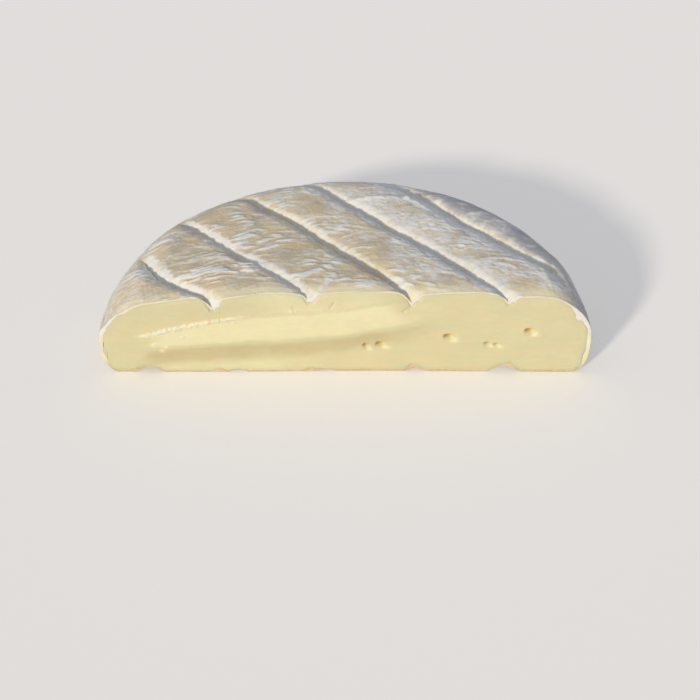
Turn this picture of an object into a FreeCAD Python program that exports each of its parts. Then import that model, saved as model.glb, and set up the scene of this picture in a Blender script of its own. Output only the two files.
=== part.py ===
import FreeCAD, Part
import math
import os

# Half of a soft, ripened bloomy-rind cheese wheel, cut through the middle with a knife.
# Millimetres. It is built on the wheel's axis: the cut runs along X, the kept half lies towards +Y
# and rests on Z = 0. At the end it moves so that its origin is the middle of its underside.

Vector = FreeCAD.Vector

# the wheel
wheelRadius = 70.2        # at the widest line
wheelHeight = 28.4        # crown above the resting face
girthHeight = 11.6        # height of the widest line, low because the soft cheese has sagged
crownDrop = 1.4           # fall of the top from the middle to the start of the shoulder
topLean = 0.012           # rise of the top along the cut, for each millimetre
shoulderIn = 14.0         # how far in from the rim the shoulder starts
shoulderPower = 2.0       # 2 is an ellipse, more is squarer
heelIn = 6.5              # the same for the lower corner
heelPower = 2.5
heelDip = 0.3             # the underside is drawn this far below the resting face, then trimmed flat
outOfRound = 0.35         # slow unevenness of the rim
ovalStretch = 1.17        # the soft wheel has spread: this much longer one way, shorter the other
ovalAngle = 15.5          # the shorter way, degrees from the cut
endSags = (               # where the top has sunk at the cut: place along the cut, depth, width
    (-62.0, 2.4, 16.0),
    (63.0, 0.9, 12.0),
)
sagReach = 10.0           # how far behind the cut it has sunk

# furrows that the wires of the ripening rack pressed into the top, counted from the axis
rackAngle = 47.0          # between the furrows and the cut, degrees
rackPitch = 19.9
rackOffset = -6.8         # distance from the axis to furrow 0, square to the furrows
rackMargin = 10.0         # a wire nearer than this to the rim leaves no furrow
furrowUneven = (          # from furrow 0 and round: depth, stray from an even pitch, width of rounded flank,
    (3.0, -1.0, 4.2, 0.8),                      # share of the depth that is left at the cut
    (4.6, 0.4, 4.8, 0.92),
    (3.9, 0.4, 5.2, 0.66),
    (3.8, 0.0, 8.5, 1.0),
    (1.4, 0.0, 3.0, 1.0),
    (4.4, -0.6, 5.8, 1.0),
)
cutReach = 7.0            # how far behind the cut the furrows are shallower
rollPower = 1.8           # roundness of that flank
riseWidth = 3.0           # the other flank is steep at first
riseShare = 0.6           # share of the depth that the steep part climbs
swellWidth = 11.5         # then a long gentle rise to the crest of the next strip
furrowWander = 0.35       # sideways unevenness of a furrow
swellHeight = 0.22        # slow unevenness of the strips
bridgeFurrow = 0          # rind has grown across this furrow at one place
bridgeAlong = 19.0        # distance of that place from the cut, along the furrow
bridgeLength = 4.5
bridgeFill = 0.7          # share of the depth that it fills
runOutStart = 0.90        # furrows run out down the shoulder between these shares of its height
runOutEnd = 0.70

# shallow furrows under the cheese, from before it was turned on the rack
underAngle = 127.0
underPitch = 20.1
underOffset = -4.2
underMargin = 16.0
underWidth = 5.0
underDepths = (0.6, 0.9, 2.2, 1.8, 0.7)          # from furrow 0 and round

# the cut face
smearHeight = 0.55        # ridge of paste that the knife dragged along
smearWidth = 1.1
smearStart = -60.0        # where the ridge begins and ends along the cut
smearEnd = 16.0
smearPlaces = (           # the ridge's course: place along the cut, height
    (-61.0, 12.2),
    (-37.0, 18.3),
    (-28.0, 19.8),
    (-2.0, 21.8),
    (15.0, 24.7),
)
troughDepth = 0.5         # shallow hollow below the ridge
faceBelly = 0.5           # the soft paste bulges this far at the middle of its height
faceWave = 0.25

# gas holes that the knife opened: place along the cut, height, width, height of the hole, depth
eyes = (
    (6.2, 9.2, 2.8, 2.5, 1.5),
    (10.4, 9.9, 4.0, 2.5, 1.7),
    (29.5, 12.7, 4.2, 2.8, 1.9),
    (40.4, 10.2, 3.2, 2.0, 1.1),
    (43.0, 9.9, 3.0, 1.8, 0.9),
    (52.1, 14.4, 4.0, 2.8, 1.9),
)

# how finely the surfaces are drawn
loopQuarter = 18          # steps from the middle of a section to the widest line
stripStep = 2.6           # largest step between sections on a strip
endAngle = 20.0           # each end of the wheel is closed over this angle, in endRings steps
endRings = 9
faceStep = 1.8            # steps of the cut face along the cut and up it
faceRise = 1.1
room = 10.0               # how far tools reach past the cheese
boxFineness = 0.02        # how closely the box that centres the part is measured


def smooth(t):
    # eases from 0 to 1, flat at both ends
    t = min(1.0, max(0.0, t))
    return t * t * (3.0 - 2.0 * t)


def hump(distance, width):
    return math.exp(-(distance / width) ** 2)


def rackAxes(angle):
    # unit vectors across and along the wires of a rack
    a = math.radians(angle)
    return Vector(math.sin(a), math.cos(a), 0), Vector(-math.cos(a), math.sin(a), 0)


def wireNumbers(offset, pitch, margin):
    reach = wheelRadius - margin
    return range(math.ceil((-reach - offset) / pitch), math.floor((reach - offset) / pitch) + 1)


def makeFurrows():
    furrows = []
    for k in wireNumbers(rackOffset, rackPitch, rackMargin):
        depth, slip, roll, atCut = furrowUneven[k % len(furrowUneven)]
        furrows.append((k, rackOffset + rackPitch * k + slip, depth, roll, atCut))
    return furrows


furrows = makeFurrows()
acrossAxis, alongAxis = rackAxes(rackAngle)


def rimRadius(turn):
    # a slight oval with two slow waves in it
    oval = ovalStretch * math.cos(2 * (turn - math.radians(ovalAngle)))
    return wheelRadius - oval + outOfRound * (0.6 * math.sin(2 * turn + 0.7) + 0.4 * math.sin(5 * turn + 2.0))


def cornerShare(share, width, power):
    # 1 inside the corner, falling along a superellipse to 0 at the rim
    start = 1.0 - width / wheelRadius
    out = min(1.0, max(0.0, (share - start) / (1.0 - start)))
    return (1.0 - out ** power) ** (1.0 / power)


def topHeight(share):
    # a shallow dome that ends in the shoulder; share is the distance from the axis over the radius
    dome = wheelHeight - crownDrop * (share * wheelRadius / (wheelRadius - shoulderIn)) ** 2
    return girthHeight + (dome - girthHeight) * cornerShare(share, shoulderIn, shoulderPower)


def heelHeight(share):
    return girthHeight - (girthHeight + heelDip) * cornerShare(share, heelIn, heelPower)


def furrowDrop(across, along):
    # fall below the dome: each furrow has a rounded flank on one side, a steep then gentle one on the other
    drop = 0.0
    spot = acrossAxis * across + alongAxis * along
    for k, place, depth, roll, atCut in furrows:
        depth *= 1.0 - (1.0 - atCut) * hump(spot.y, cutReach)
        if k == bridgeFurrow:
            fromCut = along + place / math.tan(math.radians(rackAngle))
            depth *= 1.0 - bridgeFill * hump(fromCut - bridgeAlong, bridgeLength)
        s = across - place
        if s < 0.0:
            inner = 1.0 - min(1.0, -s / roll)
            fall = 1.0 - (1.0 - inner ** rollPower) ** (1.0 / rollPower)
        else:
            steep = max(0.0, 1.0 - s / riseWidth) ** 2
            gentle = max(0.0, 1.0 - s / swellWidth) ** 2
            fall = riseShare * steep + (1.0 - riseShare) * gentle
        drop = max(drop, depth * fall)
    return drop


def endSag(spot):
    # how far the top has sunk at the ends of the cut
    sunk = sum(depth * hump(spot.x - place, width) for place, depth, width in endSags)
    return sunk * hump(spot.y, sagReach)


def stripSwell(across, along):
    return swellHeight * (math.sin(0.145 * along + 0.11 * across)
                          + 0.6 * math.sin(0.27 * along - 0.19 * across + 1.3))


def wander(across, along):
    return furrowWander * (math.sin(0.115 * along + 0.05 * across + 0.6)
                           + 0.5 * math.sin(0.31 * along + 0.17 * across))


def sectionPlaces():
    # sections lie along the furrows: close together at each furrow and towards both ends of the wheel
    limit = wheelRadius * math.cos(math.radians(endAngle))
    places = []
    for k, place, depth, roll, atCut in furrows:
        places += [place - roll * share for share in (1.1, 0.85, 0.62, 0.42, 0.25, 0.12, 0.03)]
        places += [place + riseWidth * share for share in (0.1, 0.32, 0.6, 0.95, 1.4)]
    places = sorted(p for p in places if abs(p) < limit - 0.5)
    filled = [-limit]
    for place in places + [limit]:
        gap = place - filled[-1]
        steps = max(1, math.ceil(gap / stripStep))
        filled += [place - gap * i / steps for i in reversed(range(steps))]
    rings = [wheelRadius * math.cos(math.radians(endAngle * (1.0 - i / endRings)))
             for i in range(1, endRings + 1)]
    return [-ring for ring in reversed(rings)] + filled + rings


def skinPoint(across, turn, upper):
    # a point on one section: turn runs from -90 degrees at one side of the rim to 90 at the other
    along = math.sqrt(max(0.0, wheelRadius ** 2 - across ** 2)) * math.sin(turn)
    share = min(1.0, math.hypot(across, along) / wheelRadius)
    spot = acrossAxis * across + alongAxis * along
    spot *= rimRadius(math.atan2(spot.y, spot.x)) / wheelRadius
    if not upper:
        return Vector(spot.x, spot.y, heelHeight(share))
    height = topHeight(share)
    climb = (height - girthHeight) / (wheelHeight - girthHeight)
    depth = furrowDrop(across, along) * smooth((climb - runOutEnd) / (runOutStart - runOutEnd))
    inward = 0.75 * depth * (1.0 - smooth((climb - 0.55) / 0.4))    # on the shoulder it bites inwards
    calm = smooth((wheelRadius - abs(across)) / 8.0)                # the wheel's ends stay plain
    calm *= smooth(climb / 0.6)
    sway = acrossAxis * (wander(across, along) * calm * smooth(spot.y / 5.0))    # but starts true at the cut
    spot = spot * (1.0 - inward / wheelRadius) + sway
    rise = (stripSwell(across, along) + topLean * spot.x - endSag(spot)) * calm
    return Vector(spot.x, spot.y, height - depth + rise)


def clampedKnots(count):
    # knots and their repeats for an open cubic with this many poles
    inner = count - 2
    return [float(i) for i in range(inner)], [4] + [1] * (inner - 2) + [4]


def makeWheel():
    # the skin is one closed surface: a loop of poles for each section, over the top and back underneath
    turns = [0.5 * math.pi * i / loopQuarter for i in range(-loopQuarter, loopQuarter + 1)]
    seam = 3 * loopQuarter                                          # in the middle of the underside
    poles = []
    for place in sectionPlaces():
        above = [skinPoint(place, turn, True) for turn in turns]
        below = [skinPoint(place, turn, False) for turn in reversed(turns[1:-1])]
        loop = above + below
        poles.append(loop[seam:] + loop[:seam])
    knots, repeats = clampedKnots(len(poles))
    loopKnots = [float(i) for i in range(len(poles[0]) + 1)]
    surface = Part.BSplineSurface()
    surface.buildFromPolesMultsKnots(poles, repeats, [1] * len(loopKnots), knots, loopKnots,
                                     False, True, 3, 3)
    return Part.makeSolid(Part.makeShell([surface.toShape()]))


def makeRestingBlock():
    # everything above the face that the cheese rests on
    reach = wheelRadius + room
    corner = Vector(-reach, -reach, 0)
    return Part.makeBox(2 * reach, 2 * reach, wheelHeight + room, corner)


def makeUnderBars():
    # round-topped bars that lie across the underside, one for each wire
    across, along = rackAxes(underAngle)
    heading = math.degrees(math.atan2(-along.x, along.y))
    reach = wheelRadius + room
    bars = []
    for k in wireNumbers(underOffset, underPitch, underMargin):
        depth = underDepths[k % len(underDepths)]
        half = 0.5 * underWidth * (0.6 + 0.4 * depth)
        left, right = Vector(-half, -reach, 0), Vector(half, -reach, 0)
        crown = Part.Arc(left, Vector(0, -reach, depth), right).toShape()
        foot = Part.makePolygon([right, right + Vector(0, 0, -depth), left + Vector(0, 0, -depth), left])
        bar = Part.Face(Part.Wire([crown] + foot.Edges)).extrude(Vector(0, 2 * reach, 0))
        bar.rotate(Vector(), Vector(0, 0, 1), heading)
        bar.translate(across * (underOffset + underPitch * k))
        bars.append(bar)
    return bars


def smearLine(x):
    # height of the dragged ridge: straight between its places
    for (start, low), (end, high) in zip(smearPlaces, smearPlaces[1:]):
        if x < end:
            break
    return low + (high - low) * max(0.0, min(1.0, (x - start) / (end - start)))


def faceDepth(x, z):
    # how far the cut face lies behind the flat of the cut, where the paste doesn't bulge to it
    span = smooth((x - smearStart) / 6.0) * smooth((smearEnd - x) / 10.0)
    ridge = smearHeight * hump(z - smearLine(x), smearWidth) * span
    hollow = troughDepth * hump(z - 0.55 * smearLine(x) + 1.5, 4.0)
    hollow *= smooth((x - smearStart + 4.0) / 12.0) * smooth((smearEnd + 14.0 - x) / 25.0)
    level = min(1.0, max(0.0, z / wheelHeight))
    belly = faceBelly * math.sin(math.pi * level) ** 0.8
    return faceBelly + hollow - ridge - belly + faceWave * math.sin(0.06 * x + 0.2 * z + 1.0)


def makeKnifeBlock():
    # what the knife leaves: everything behind one gently uneven face
    reach = wheelRadius + room
    columns = math.ceil(2 * reach / faceStep)
    rows = math.ceil((wheelHeight + 2 * room) / faceRise)
    heights = [-room + (wheelHeight + 2 * room) * j / rows for j in range(rows + 1)]
    poles = []
    for i in range(columns + 1):
        x = reach * (2.0 * i / columns - 1.0)
        poles.append([Vector(x, faceDepth(x, z), z) for z in heights])
    knots, repeats = clampedKnots(columns + 1)
    upKnots, upRepeats = clampedKnots(rows + 1)
    face = Part.BSplineSurface()
    face.buildFromPolesMultsKnots(poles, repeats, upRepeats, knots, upKnots, False, False, 3, 3)
    return face.toShape().extrude(Vector(0, reach, 0))


def makeEyes():
    # each hole is a bubble stretched to its width, depth and height, a little more than half in the paste
    holes = []
    for x, z, width, height, depth in eyes:
        stretch = FreeCAD.Matrix()
        stretch.scale(0.5 * width, depth, 0.5 * height)
        hole = Part.makeSphere(1.0).transformGeometry(stretch)
        hole.translate(Vector(x, faceDepth(x, z) - 0.1 * depth, z))
        holes.append(hole)
    return holes


def makeCheeseHalf():
    half = makeWheel().common(makeRestingBlock())
    half = half.cut(makeUnderBars())
    half = half.common(makeKnifeBlock())
    half = half.cut(makeEyes()).Solids[0]
    skin = half.tessellate(boxFineness)[0]
    xs, ys = [point.x for point in skin], [point.y for point in skin]
    half.translate(Vector(-0.5 * (min(xs) + max(xs)), -0.5 * (min(ys) + max(ys)), 0))
    return half


os.makedirs("parts", exist_ok=True)
cheeseHalf = makeCheeseHalf()
cheeseHalf.exportStep("parts/cheese_half.step")
print("cheese_half", cheeseHalf.isValid(), "volume", round(cheeseHalf.Volume))
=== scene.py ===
import math
import bmesh
import bpy
import numpy as np
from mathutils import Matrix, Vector


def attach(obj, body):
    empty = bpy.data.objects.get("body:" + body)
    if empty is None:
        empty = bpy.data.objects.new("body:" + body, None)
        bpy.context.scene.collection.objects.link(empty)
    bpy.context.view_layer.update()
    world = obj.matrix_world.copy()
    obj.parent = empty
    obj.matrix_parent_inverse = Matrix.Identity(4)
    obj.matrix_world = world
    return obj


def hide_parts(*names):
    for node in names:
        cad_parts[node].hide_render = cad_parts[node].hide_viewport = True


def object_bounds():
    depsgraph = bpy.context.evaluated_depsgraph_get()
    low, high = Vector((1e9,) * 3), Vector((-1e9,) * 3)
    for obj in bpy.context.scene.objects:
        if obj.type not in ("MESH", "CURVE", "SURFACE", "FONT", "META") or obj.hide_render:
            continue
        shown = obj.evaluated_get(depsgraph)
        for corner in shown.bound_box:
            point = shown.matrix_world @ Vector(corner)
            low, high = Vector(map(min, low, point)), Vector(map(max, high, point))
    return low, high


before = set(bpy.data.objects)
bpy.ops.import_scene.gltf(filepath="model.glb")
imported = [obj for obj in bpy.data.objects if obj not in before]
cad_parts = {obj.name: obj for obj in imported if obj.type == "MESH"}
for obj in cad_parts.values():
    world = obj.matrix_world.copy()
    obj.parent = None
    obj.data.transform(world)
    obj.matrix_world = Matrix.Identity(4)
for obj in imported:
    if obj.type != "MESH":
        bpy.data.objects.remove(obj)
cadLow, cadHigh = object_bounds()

# Half of a ripened cheese wheel: a furrowed white rind round a soft yellow paste.
# Shapes are worked out in millimetres on the wheel's own axis (cut along x at y = 0, kept half
# towards +y, resting on z = 0) and moved to the frame at the end.

mm = 0.001
mergeDistance = 0.002 * mm

wheel = {
    "radius": 70.2,
    "oval": 1.17,  # spread this much longer one way, shorter the other
    "ovalAngle": math.radians(15.5),
    "outOfRound": 0.35,
    "height": 1000 * (cadHigh.z - cadLow.z) - 0.25,  # the swellings of the top add the rest
    "girthHeight": 11.6,  # height of the widest line
    "crownDrop": 1.4,  # fall of the top out to the shoulder
    "topLean": 0.012,  # rise of the top along the cut, per mm
    "swell": 0.22,  # soft waves of the top
    "shoulderIn": 14.0,  # width of the rounded shoulder
    "heelIn": 6.5,  # width of the lower corner
    "heelPower": 2.5,
    "heelPast": 0.3,  # the corner aims this far below the floor, where it is flat
    # where the top has sunk at the cut: place along the cut, depth, width
    "endSags": ((-62.0, 2.4, 16.0), (63.0, 0.9, 12.0)),
    "sagReach": 10.0,
    "brow": 0.5,  # the skin turns down this far just behind the cut
    "browReach": 1.8,
}

cutFace = {
    "belly": 0.5,  # the face bulges this far between its top and its bottom
    "wave": 0.25,
    "reach": 3.0,  # how far behind the cut the skin follows the uneven face
}

rack = {
    "angle": math.radians(47),  # between the furrows and the cut
    "pitch": 19.9,
    "offset": -6.8,
    # from furrow 0 and round: depth, stray from an even pitch, width of the rounded flank
    # and share of the depth that is left at the cut
    "uneven": ((3.0, -1.0, 4.2, 0.8), (4.6, 0.4, 4.8, 0.92), (3.9, 0.4, 5.2, 0.66),
               (3.8, 0.0, 8.5, 1.0), (1.4, 0.0, 3.0, 1.0), (4.4, -0.6, 5.8, 1.0)),
    "cutReach": 7.0,  # how far behind the cut they are shallower
    "numbers": range(-2, 4),
    "rollPower": 1.8,  # roundness of the flank before a furrow
    "riseWidth": 3.0,  # the flank after it: a steep rise, its share of the depth, then a swell
    "riseShare": 0.6,
    "swellWidth": 11.5,
    "wander": 0.35,
    # one furrow has a shallow stretch: its number, place along it from the cut, length, share filled
    "bridge": (0, 19.0, 4.5, 0.7),
    "runOut": (0.70, 0.90),  # furrows run out between these shares of the shoulder's height
    # bends of single furrows: how far aside, distance from the cut, reach
    "bends": {-1: (-2.8, 11.0, 7.0), 1: (1.5, 34.0, 12.0), 3: (3.0, 4.0, 9.0)},
}

# grooves that the bars of the rack left in the underside
underRack = {
    "angle": math.radians(127),
    "pitch": 20.1,
    "offset": -4.2,
    "width": 5.0,
    "depths": (0.6, 0.9, 2.2, 1.8, 0.7),
    "numbers": range(-2, 3),
}


def smooth(t):
    # eases from 0 to 1, flat at both ends: 3t^2 - 2t^3
    t = np.clip(t, 0.0, 1.0)
    return t * t * (3.0 - 2.0 * t)


def hump(distance, width):
    # a bell: e to the minus square of the distance over the width
    return np.exp(-(distance / width) ** 2)


def near(x, y, place, flat=1.0):
    # a bell round a place, which is two distances and a reach, flattened along the second
    placeX, placeY, reach = place
    return hump(np.hypot(x - placeX, flat * (y - placeY)), reach)


def awayFromLine(x, y, line):
    # distance to a straight stretch: to the foot of the square, kept between its ends
    startX, startY, endX, endY = line
    runX, runY = endX - startX, endY - startY
    part = np.clip(((x - startX) * runX + (y - startY) * runY) / (runX ** 2 + runY ** 2), 0, 1)
    return np.hypot(x - startX - part * runX, y - startY - part * runY)


def noise(x, y, z, seed):
    # gradient noise, about -1 to 1: each whole-number corner has a slope from a hash of its place, and
    # the heights of the eight slopes round a point are mixed by eased distances
    point = np.stack(np.broadcast_arrays(x, y, z), -1).astype(float)
    cell = np.floor(point).astype(np.int64)
    part = point - cell
    ease = part ** 3 * (part * (part * 6 - 15) + 10)
    total = np.zeros(point.shape[:-1])
    for corner in np.ndindex(2, 2, 2):
        step = np.array(corner)
        key = ((cell + step) * np.array([73856093, 19349663, 83492791])).sum(-1) + seed * 40503
        key = (key ^ (key >> 15)) * 2246822519 & 0xFFFFFFFF
        key = (key ^ (key >> 13)) * 3266489917 & 0xFFFFFFFF
        turn = (key & 0xFFFF) * (2 * math.pi / 65536)
        lift = (key >> 16 & 0xFFFF) / 32768.0 - 1.0
        flat = np.sqrt(np.maximum(0.0, 1.0 - lift * lift))
        away = part - step
        rise = away[..., 0] * flat * np.cos(turn) + away[..., 1] * flat * np.sin(turn)
        rise += away[..., 2] * lift
        total += rise * np.where(step == 1, ease, 1.0 - ease).prod(-1)
    return 1.6 * total


def spots(sizes, x, y, z=0.0):
    # noise from its size along each way and its seed
    sizeX, sizeY, sizeZ, seed = sizes
    return noise(x / sizeX, y / sizeY, z / sizeZ, seed)


def addObject(name, data):
    # a new object in the scene, at the origin
    added = bpy.data.objects.new(name, data)
    bpy.context.scene.collection.objects.link(added)
    return added


def gridMesh(name, points, values, dropCells=None):
    # points is rows x columns x 3 in frame metres, and the last row joins the first; each cell becomes
    # a quad, doubles are merged, faces point outwards and each value array becomes an attribute
    rows, columns = points.shape[:2]
    index = np.arange(rows * columns).reshape(rows, columns)
    nextRow = np.roll(index, -1, 0)
    quads = np.stack((index[:, :-1], index[:, 1:], nextRow[:, 1:], nextRow[:, :-1]), -1)
    if dropCells is not None:
        quads = quads[~dropCells]
    quads = quads.reshape(-1, 4)
    mesh = bpy.data.meshes.new(name)
    mesh.vertices.add(rows * columns)
    mesh.vertices.foreach_set("co", points.astype(np.float32).ravel())
    mesh.loops.add(quads.size)
    mesh.loops.foreach_set("vertex_index", quads.astype(np.int32).ravel())
    mesh.polygons.add(len(quads))
    mesh.polygons.foreach_set("loop_start", np.arange(0, quads.size, 4, dtype=np.int32))
    mesh.update(calc_edges=True)
    for key, value in values.items():
        kind, field = ("FLOAT_VECTOR", "vector") if value.ndim == 3 else ("FLOAT", "value")
        layer = mesh.attributes.new(key, kind, "POINT")
        layer.data.foreach_set(field, value.astype(np.float32).ravel())
    work = bmesh.new()
    work.from_mesh(mesh)
    bmesh.ops.remove_doubles(work, verts=work.verts, dist=mergeDistance)
    loose = [v for v in work.verts if not v.link_faces]
    bmesh.ops.delete(work, geom=loose, context="VERTS")
    bmesh.ops.recalc_face_normals(work, faces=work.faces)
    if work.calc_volume(signed=True) < 0:
        bmesh.ops.reverse_faces(work, faces=work.faces)
    work.to_mesh(mesh)
    work.free()
    mesh.polygons.foreach_set("use_smooth", np.ones(len(mesh.polygons), bool))
    mesh.update()
    print(name, "triangles", sum(len(p.vertices) - 2 for p in mesh.polygons))
    return addObject(name, mesh)


def axesOf(angle):
    # unit direction across the furrows, for furrows that make this angle with the cut
    return math.sin(angle), math.cos(angle)


def furrowList():
    # number, distance from the axis, depth, roll width and share left at the cut of each furrow
    places = []
    for k in rack["numbers"]:
        depth, slip, roll, atCut = rack["uneven"][k % len(rack["uneven"])]
        places.append((k, rack["offset"] + rack["pitch"] * k + slip, depth, roll, atCut))
    return places


def alongOf(across, turn):
    # distance along the furrow from the middle of its section: half the chord times sin(turn)
    return np.sqrt(np.maximum(0, wheel["radius"] ** 2 - across ** 2)) * np.sin(turn)


def behindCut(across, along):
    # distance from the flat of the cut
    acrossX, acrossY = axesOf(rack["angle"])
    return across * acrossY + along * acrossX


def strayOf(k, fromCut):
    # how far one furrow has bent aside at a distance from the cut: a bell
    aside, place, reach = rack["bends"].get(k, (0.0, 0.0, 1.0))
    return aside * hump(fromCut - place, reach)


def furrowDrop(across, along):
    # fall below the dome: a rounded flank before each furrow, a steep then gentle one after it
    drop = np.zeros(np.broadcast(across, along).shape)
    fromCut = behindCut(across, along)
    bridged, bridgeAt, bridgeLength, filled = rack["bridge"]
    for k, place, depth, roll, atCut in furrowList():
        depth = depth * (1 - (1 - atCut) * hump(fromCut, rack["cutReach"]))
        if k == bridged:
            gone = along + place / math.tan(rack["angle"])
            depth *= 1 - filled * hump(gone - bridgeAt, bridgeLength)
        past = across - place - strayOf(k, fromCut)
        inner = np.clip(1 + past / roll, 0, 1)
        before = 1 - (1 - inner ** rack["rollPower"]) ** (1 / rack["rollPower"])
        steep = np.clip(1 - past / rack["riseWidth"], 0, 1) ** 2
        gentle = np.clip(1 - past / rack["swellWidth"], 0, 1) ** 2
        after = rack["riseShare"] * steep + (1 - rack["riseShare"]) * gentle
        drop = np.maximum(drop, depth * np.where(past < 0, before, after))
    return drop


def cornerShare(share, width, power):
    # 1 inside the corner, falling along a superellipse to 0 at the rim
    start = 1 - width / wheel["radius"]
    out = np.clip((share - start) / (1 - start), 0, 1)
    return (1 - out ** power) ** (1 / power)


def outOfRound(x, y):
    # scale of the distance from the axis: two slow waves round the rim, less the oval
    around = np.arctan2(y, x)
    waves = 0.6 * np.sin(2 * around + 0.7) + 0.4 * np.sin(5 * around + 2)
    oval = wheel["oval"] * np.cos(2 * (around - wheel["ovalAngle"]))
    return 1 + (wheel["outOfRound"] * waves - oval) / wheel["radius"]


def undersideHeight(x, y, share):
    # the lower corner falls to the floor, and each groove is a parabola across its bar
    girth = wheel["girthHeight"]
    heel = girth - (girth + wheel["heelPast"]) * cornerShare(share, wheel["heelIn"], wheel["heelPower"])
    underX, underY = axesOf(underRack["angle"])
    arch = np.zeros_like(heel)
    for k in underRack["numbers"]:
        deep = underRack["depths"][k % len(underRack["depths"])]
        half = 0.5 * underRack["width"] * (0.6 + 0.4 * deep)
        past = x * underX + y * underY - underRack["offset"] - underRack["pitch"] * k
        arch = np.maximum(arch, deep * np.clip(1 - (past / half) ** 2, 0, 1))
    return np.maximum(np.maximum(heel, 0), arch)


def wheelSkin(across, turn, lower):
    # a point of the skin, and how far up the shoulder it lies (0 at the widest line, 1 at the top):
    # across is the distance from the axis square to the furrows, turn runs -90 to 90 degrees along the
    # furrow from rim to rim, over the top or (lower) underneath
    radius, girth = wheel["radius"], wheel["girthHeight"]
    along = alongOf(across, turn)
    share = np.minimum(1, np.hypot(across, along) / radius)
    acrossX, acrossY = axesOf(rack["angle"])
    x = across * acrossX - along * acrossY
    y = across * acrossY + along * acrossX
    wobble = outOfRound(x, y)
    x, y = x * wobble, y * wobble
    dome = wheel["height"] - wheel["crownDrop"] * (share * radius / (radius - wheel["shoulderIn"])) ** 2
    top = girth + (dome - girth) * cornerShare(share, wheel["shoulderIn"], 2.0)
    climb = (top - girth) / (wheel["height"] - girth)
    low, high = rack["runOut"]
    depth = furrowDrop(across, along) * smooth((climb - low) / (high - low))
    # on the shoulder the furrows also press the skin inwards
    inward = 0.75 * depth * (1 - smooth((climb - 0.55) / 0.4))
    calm = smooth((radius - np.abs(across)) / 8) * smooth(climb / 0.6)
    # furrows wander a little, but start true at the cut
    sway = np.sin(0.115 * along + 0.05 * across + 0.6) + 0.5 * np.sin(0.31 * along + 0.17 * across)
    sway = np.where(lower, 0, rack["wander"] * sway * calm * smooth(y / 5))
    pull = np.where(lower, 1, 1 - inward / radius)
    topX, topY = x * pull + acrossX * sway, y * pull + acrossY * sway
    waves = np.sin(0.145 * along + 0.11 * across) + 0.6 * np.sin(0.27 * along - 0.19 * across + 1.3)
    sunk = sum(deep * hump(topX - place, width) for place, deep, width in wheel["endSags"])
    sunk = sunk * hump(topY, wheel["sagReach"])
    brow = wheel["brow"] * hump(topY, wheel["browReach"])
    topZ = top - depth + (wheel["swell"] * waves + wheel["topLean"] * topX - sunk - brow) * calm
    lowZ = undersideHeight(x, y, share)
    return np.stack((topX, topY, np.where(lower, lowZ, topZ)), -1), climb


def faceDepth(x, z):
    # how far the cut face lies behind the flat of the cut: a bulge over the height and a long wave
    level = np.clip(z / wheel["height"], 0, 1)
    bulge = cutFace["belly"] * np.sin(math.pi * level) ** 0.8
    return cutFace["belly"] - bulge + cutFace["wave"] * np.sin(0.06 * x + 0.2 * z + 1.0)


def sectionGrid(cutColumns, backColumns, ways):
    # columns step across the furrows from the cut's left end: the first start and end on the cut, the
    # last close on the rim; rows follow each section over the top (way 0 to 1) and back underneath
    radius, angle = wheel["radius"], rack["angle"]
    station = np.concatenate((np.linspace(-angle, angle, cutColumns),
                              np.linspace(angle, 0.5 * math.pi, backColumns + 1)[1:]))
    across = radius * np.sin(station)
    half = np.sqrt(np.maximum(radius ** 2 - across ** 2, 1e-12))
    start = np.arcsin(np.clip(-across / math.tan(angle) / half, -1, 1))
    start[0] = 0.5 * math.pi
    start[cutColumns - 1:] = -0.5 * math.pi
    turn = start + (0.5 * math.pi - start) * (1 - np.abs(1 - ways[:, None]))
    lower = np.broadcast_to(ways[:, None] > 1, turn.shape)
    return np.broadcast_to(across, turn.shape), turn, lower


def waysOf(topSteps, lowSteps):
    # even steps over the top, then steps underneath that start short at the rim: a power of an even run
    under = np.linspace(0, 1, lowSteps + 1)[1:] ** 1.6
    return np.concatenate((np.linspace(0, 1, topSteps + 1), 1 + under))


def findOrigin():
    # the wheel's origin in the frame: its rim touches the box's back, midway between the box's ends
    skin, climb = wheelSkin(*sectionGrid(200, 60, waysOf(120, 40)))
    middle = 0.5 * (skin[..., 0].min() + skin[..., 0].max())
    originX = 0.5 * (cadLow.x + cadHigh.x) - middle * mm
    originY = cadHigh.y - skin[..., 1].max() * mm
    return np.array([originX, originY, cadLow.z])


origin = findOrigin()
print("wheel origin in the frame", np.round(origin, 5))


def toFrame(points):
    # wheel millimetres to frame metres
    return points * mm + origin


def unitNormals(points, cutColumns):
    # cross product of the steps along columns and rows, mended at both ends of the wheel and at the seam
    normal = np.cross(np.gradient(points, axis=1), np.gradient(points, axis=0))
    normal /= np.maximum(np.linalg.norm(normal, axis=-1, keepdims=True), 1e-12)
    normal[:, 0] = (-1, 0, 0)
    normal[:, -1] = (*axesOf(rack["angle"]), 0)
    seam = normal[0, cutColumns - 1:] + normal[-1, cutColumns - 1:]
    seam /= np.maximum(np.linalg.norm(seam, axis=-1, keepdims=True), 1e-12)
    normal[0, cutColumns - 1:] = normal[-1, cutColumns - 1:] = seam
    return normal


def pressToCut(points):
    # the cut isn't flat: points on it move to the uneven face, those behind follow less and less
    moved = points.copy()
    fade = np.exp(-np.maximum(points[..., 1], 0) / cutFace["reach"])
    moved[..., 1] += faceDepth(points[..., 0], points[..., 2]) * fade
    return moved


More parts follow.
